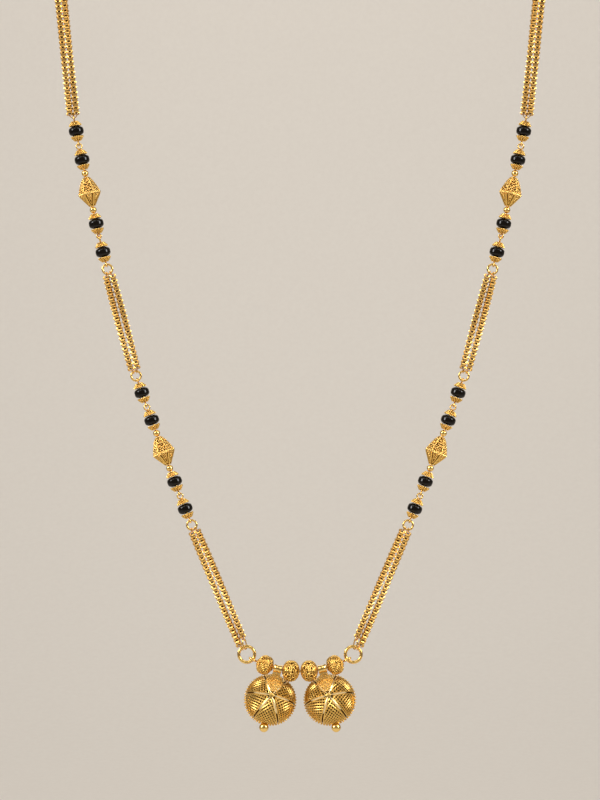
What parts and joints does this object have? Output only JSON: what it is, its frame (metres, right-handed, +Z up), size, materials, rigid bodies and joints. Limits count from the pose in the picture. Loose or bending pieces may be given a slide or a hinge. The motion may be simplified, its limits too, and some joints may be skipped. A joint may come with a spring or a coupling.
{
  "type": "mangalsutra necklace",
  "caption": "Double strand gold box chain necklace with groups of black beads between gold caps and two filigree gold cups hanging from a bowed wire.",
  "frame": {"origin": "centre of the plain hook at the nape, where the necklace hangs", "axes": "+Z up, the front with the pendant faces -Y, +X to the right as seen from the front"},
  "size_m": [0.1264, 0.1155, 0.2299],
  "materials": {
    "polished_gold": "polished 22 carat yellow gold",
    "filigree_gold": "granulated and wire-wrapped 22 carat yellow gold, satin between bright points",
    "chain_gold": "bright box chain, 22 carat yellow gold",
    "black_glass": "opaque black glass, fire polished"
  },
  "bodies": {
    "necklace": {"pendant_wire": "polished_gold", "outer_bead_left": "filigree_gold", "inner_bead_left": "filigree_gold", "inner_bead_right": "filigree_gold", "outer_bead_right": "filigree_gold", "pendant_ring_left": "polished_gold", "pendant_ring_right": "polished_gold", "joining_link_left": "polished_gold", "joining_link_right": "polished_gold", "lower_chain_left_outer": "chain_gold", "lower_chain_left_inner": "chain_gold", "lower_chain_right_outer": "chain_gold", "lower_chain_right_inner": "chain_gold", "middle_chain_left_outer": "chain_gold", "middle_chain_left_inner": "chain_gold", "middle_chain_right_outer": "chain_gold", "middle_chain_right_inner": "chain_gold", "back_chain_left_outer": "chain_gold", "back_chain_left_inner": "chain_gold", "back_chain_right_outer": "chain_gold", "back_chain_right_inner": "chain_gold", "group_ring_left_low": "polished_gold", "group_ring_left_mid": "polished_gold", "group_ring_left_high": "polished_gold", "group_ring_right_low": "polished_gold", "group_ring_right_mid": "polished_gold", "group_ring_right_high": "polished_gold", "end_ring_left": "polished_gold", "end_ring_right": "polished_gold", "nape_hook": "polished_gold", "lower_bicone_left": "filigree_gold", "upper_bicone_left": "filigree_gold", "lower_bicone_right": "filigree_gold", "upper_bicone_right": "filigree_gold", "lower_left_black_1": "black_glass", "lower_left_black_2": "black_glass", "lower_left_black_3": "black_glass", "lower_left_black_4": "black_glass", "upper_left_black_1": "black_glass", "upper_left_black_2": "black_glass", "upper_left_black_3": "black_glass", "upper_left_black_4": "black_glass", "lower_right_black_1": "black_glass", "lower_right_black_2": "black_glass", "lower_right_black_3": "black_glass", "lower_right_black_4": "black_glass", "upper_right_black_1": "black_glass", "upper_right_black_2": "black_glass", "upper_right_black_3": "black_glass", "upper_right_black_4": "black_glass", "lower_left_pins": "polished_gold", "upper_left_pins": "polished_gold", "lower_right_pins": "polished_gold", "upper_right_pins": "polished_gold", "caps_left": "filigree_gold", "caps_right": "filigree_gold", "small_balls_left": "polished_gold", "small_balls_right": "polished_gold"},
    "cup_left": {"cup_left": "filigree_gold"},
    "cup_right": {"cup_right": "filigree_gold"}
  },
  "joints": [
    {"name": "cup_left_swing", "type": "hinge", "parent": "necklace", "child": "cup_left", "pos_m": [-0.00514, -0.11, -0.21291], "axis": [-0.9736, 0, 0.2282], "range_deg": [-20, 45]},
    {"name": "cup_right_swing", "type": "hinge", "parent": "necklace", "child": "cup_right", "pos_m": [0.00514, -0.11, -0.21291], "axis": [-0.9736, 0, -0.2282], "range_deg": [-20, 45]}
  ]
}
